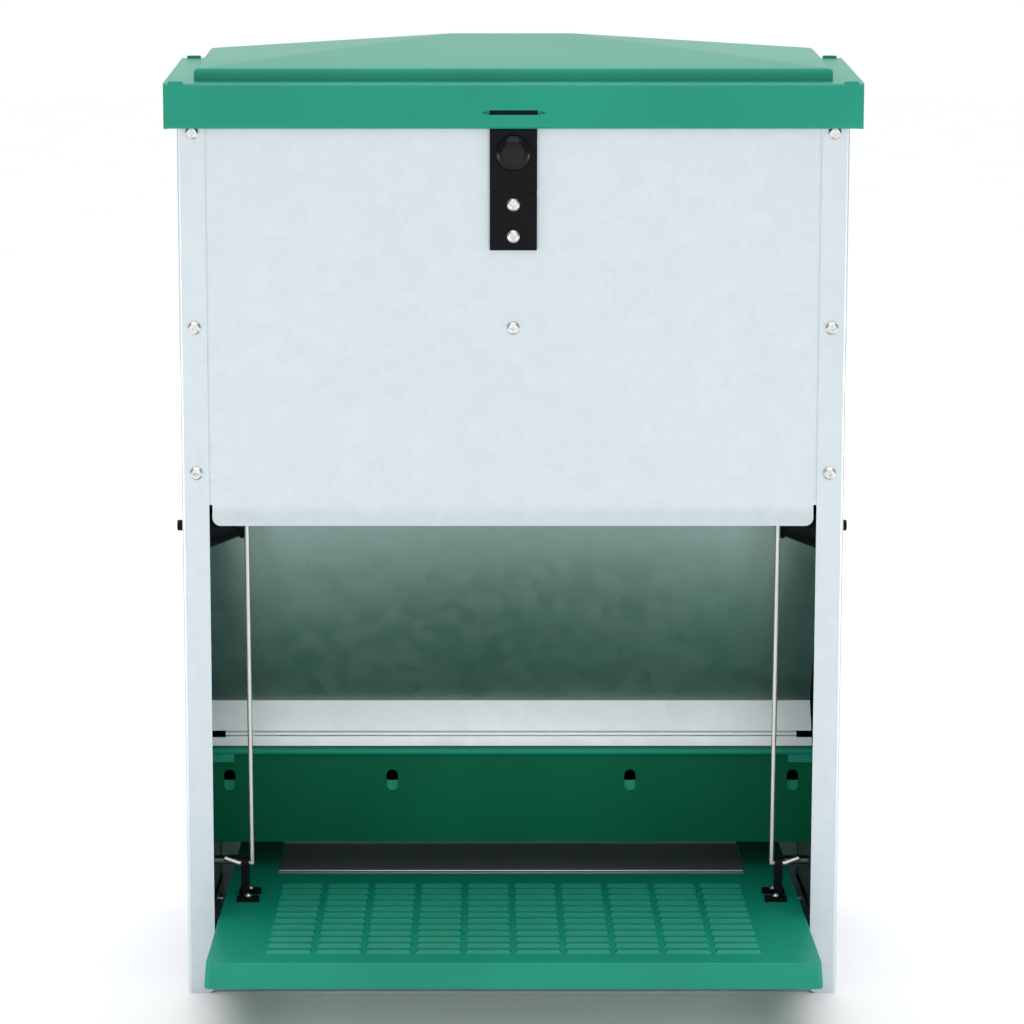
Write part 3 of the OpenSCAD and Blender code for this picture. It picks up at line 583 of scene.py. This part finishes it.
def catch():
    """A plain black strip: fixed below, sprung above, with a domed button."""
    x, face = 13.75 * MM, -0.107
    base = block("latch_base_moulding", (-x, face, 0.45), (x, -0.1021, 0.484))
    for z in (0.4582, 0.4766):
        bpy.ops.object.select_all(action="DESELECT")
        bpy.ops.mesh.primitive_cylinder_add(vertices=32, radius=2 * MM, depth=20 * MM,
                                            location=(0, face, z), rotation=(math.pi / 2, 0, 0))
        cut(base, bpy.context.object)
    fit(soften(base, 0.35 * MM, 3), "housing", "black_plastic", BLACK, "latch_base")
    tongue = block("latch_tongue_moulding", (-x, face, 0.4843), (x, face + 2 * MM, 0.5334))
    slice_at(tongue, (0, 0, 0.5292), (0, 0, 1))
    slice_at(tongue, (0, 0, 0.5308), (0, 0, 1))
    pick(tongue, "FACE", lambda face: face.normal.y < -0.9 and near(face.center.z, 0.53))
    bpy.ops.mesh.inset(thickness=0.01 * MM)
    bpy.ops.transform.resize(value=(0.93, 1, 1), center_override=(0, 0, 0.53))
    bpy.ops.mesh.extrude_region_move(TRANSFORM_OT_translate={"value": (0, -3.1 * MM, 0)})
    done()
    fit(soften(tongue, 0.35 * MM, 3), "catch", "black_plastic", BLACK, "latch_tongue")
    bpy.ops.object.select_all(action="DESELECT")
    bpy.ops.mesh.primitive_cylinder_add(vertices=72, radius=10.3 * MM, depth=1.6 * MM,
                                        location=(0, face - 0.8 * MM, 0.5066), rotation=(math.pi / 2, 0, 0))
    button = bpy.context.object
    button.name = "button_moulding"
    settle(button)
    for inset, rise in ((0.5, 0.7), (1.1, 0.6), (1.8, 0.4), (2.4, 0.2), (2.2, 0.06)):
        pick(button, "FACE", lambda face: face.normal.y < -0.9)
        bpy.ops.mesh.inset(thickness=inset * MM)
        bpy.ops.transform.translate(value=(0, -rise * MM, 0))
        done()
    smooth(button, 60)
    fit(button, "catch", "gloss_black_plastic", GLOSS_BLACK, "latch_button")


def flap():
    # Painted shade on the flap: the darker sheet. Painted highlight on its lower strip, below 153.5 mm: the
    # brighter sheet.
    pressing = dressed("flap_pressing", "flap_sheet", SHADED_SHEET, 0.25 * MM)
    paint(pressing, LIT_SHEET, lambda at, n: at.z < 0.1535)
    for side in SIDES:
        dressed(f"{side}_lever_moulding", f"{side}_lever_arm", BLACK, 0.5 * MM)
        dressed(f"{side}_pin_cap", f"{side}_flap_pin", BLACK, 0.5 * MM)


def linkage():
    for side in SIDES:
        dressed(f"{side}_bent_wire", f"{side}_pull_rod", WIRE, 0)
        dressed(f"{side}_bracket_moulding", f"{side}_rod_bracket", BLACK, 0.4 * MM)
        dressed(f"{side}_axle_end", f"{side}_axle_cap", BLACK, 0.6 * MM, 3)
    dressed("axle_rod", "treadle_axle", WIRE, 0.4 * MM)


def treadle():
    """A shallow tray, open below, with two ears, rows of hipped grip ribs and slots between them."""
    half, front, rear, tail = 0.1777, -0.189, -0.013, 0.057
    under, top, ear_in = 0.0325, 0.0475, 0.1482
    piece = block("treadle_moulding", (-half, front, under), (half, rear, top))
    for side in SIDES.values():
        slice_at(piece, (side * ear_in, 0, 0), (1, 0, 0))
    pick(piece, "FACE", lambda face: face.normal.y > 0.9 and abs(face.center.x) > ear_in)
    bpy.ops.mesh.extrude_region_move(TRANSFORM_OT_translate={"value": (0, tail - rear, 0)})
    done()
    shift(piece, lambda v: near(v.y, front) and near(v.z, top), (0, 2.2 * MM, 0))
    for side in SIDES.values():
        shift(piece, lambda v: near(v.x, side * half) and near(v.z, top), (-side * 1.0 * MM, 0, 0))
    pick(piece, "EDGE", lambda e: all(v.y < front + 3 * MM and abs(v.x) > half - 2 * MM
                                      for v in ends(piece, e)))
    bpy.ops.mesh.bevel(offset=3.5 * MM, segments=5, affect="EDGES")
    done()
    pick(piece, "FACE", lambda face: face.normal.z < -0.9)
    bpy.ops.mesh.delete(type="FACE")
    done()
    modify(piece, "SOLIDIFY", thickness=2.6 * MM, offset=-1, use_even_offset=True)
    pitch_x, pitch_y, mid_y = 28.94 * MM, 11.6 * MM, -0.104
    slot = block("slots", (-4.5 * pitch_x - 12 * MM, mid_y - 5 * pitch_y - 2.1 * MM, 0.04),
                 (-4.5 * pitch_x + 12 * MM, mid_y - 5 * pitch_y + 2.1 * MM, 0.05))
    pick(slot, "EDGE", lambda e: abs(ends(slot, e)[0].z - ends(slot, e)[1].z) > 5 * MM)
    bpy.ops.mesh.bevel(offset=1 * MM, segments=3, affect="EDGES")
    done()
    arrayed(slot, 10, (pitch_x, 0, 0))
    arrayed(slot, 11, (0, pitch_y, 0))
    cut(piece, slot)
    soften(piece, 0.7 * MM, 3, 35)
    rib = block("ribs", (-4.5 * pitch_x - 13.6 * MM, mid_y - 5.5 * pitch_y - 3.7 * MM, top - 0.5 * MM),
                (-4.5 * pitch_x + 13.6 * MM, mid_y - 5.5 * pitch_y + 3.7 * MM, top + 1.5 * MM))
    pick(rib, "FACE", lambda face: face.normal.z > 0.9)
    bpy.ops.transform.resize(value=(0.88, 0.12, 1), center_override=(
        -4.5 * pitch_x, mid_y - 5.5 * pitch_y, top))
    done()
    soften(rib, 0.35 * MM, 2, 15)
    arrayed(rib, 10, (pitch_x, 0, 0))
    arrayed(rib, 12, (0, pitch_y, 0))
    extras = [rib]
    for side in SIDES.values():
        boss = rod_x("boss", side * ear_in, side * half, 0.047, 0.038, 7.1 * MM, 48)
        pick(boss, "EDGE", lambda e: near(*[abs(v.x) for v in ends(boss, e)]))
        bpy.ops.mesh.bevel(offset=0.6 * MM, segments=2, affect="EDGES")
        done()
        extras.append(smooth(boss))
    joined("treadle_moulding", [piece] + extras)
    fit(piece, "treadle", "green_plastic", GREEN, "treadle_plate")
    channel = dressed("treadle_channel_sheet", "treadle_channel", GALVANISED, 0.25 * MM)
    hems = []
    for y in (-0.0118, -0.0062):
        hem = rod_x("hem", -0.1476, 0.1476, y, 0.0467, 0.7 * MM, 24)
        pick(hem, "EDGE", lambda e: near(*[v.x for v in ends(hem, e)]))
        bpy.ops.mesh.bevel(offset=0.2 * MM, segments=2, affect="EDGES")
        done()
        # Painted highlight: the hem beads get the brighter sheet.
        coat(smooth(hem), LIT_SHEET)
        hems.append(hem)
    joined("treadle_channel_sheet", [channel] + hems)


camera()
studio()
floor()
housing()
lid()
catch()
flap()
linkage()
treadle()
fasteners()
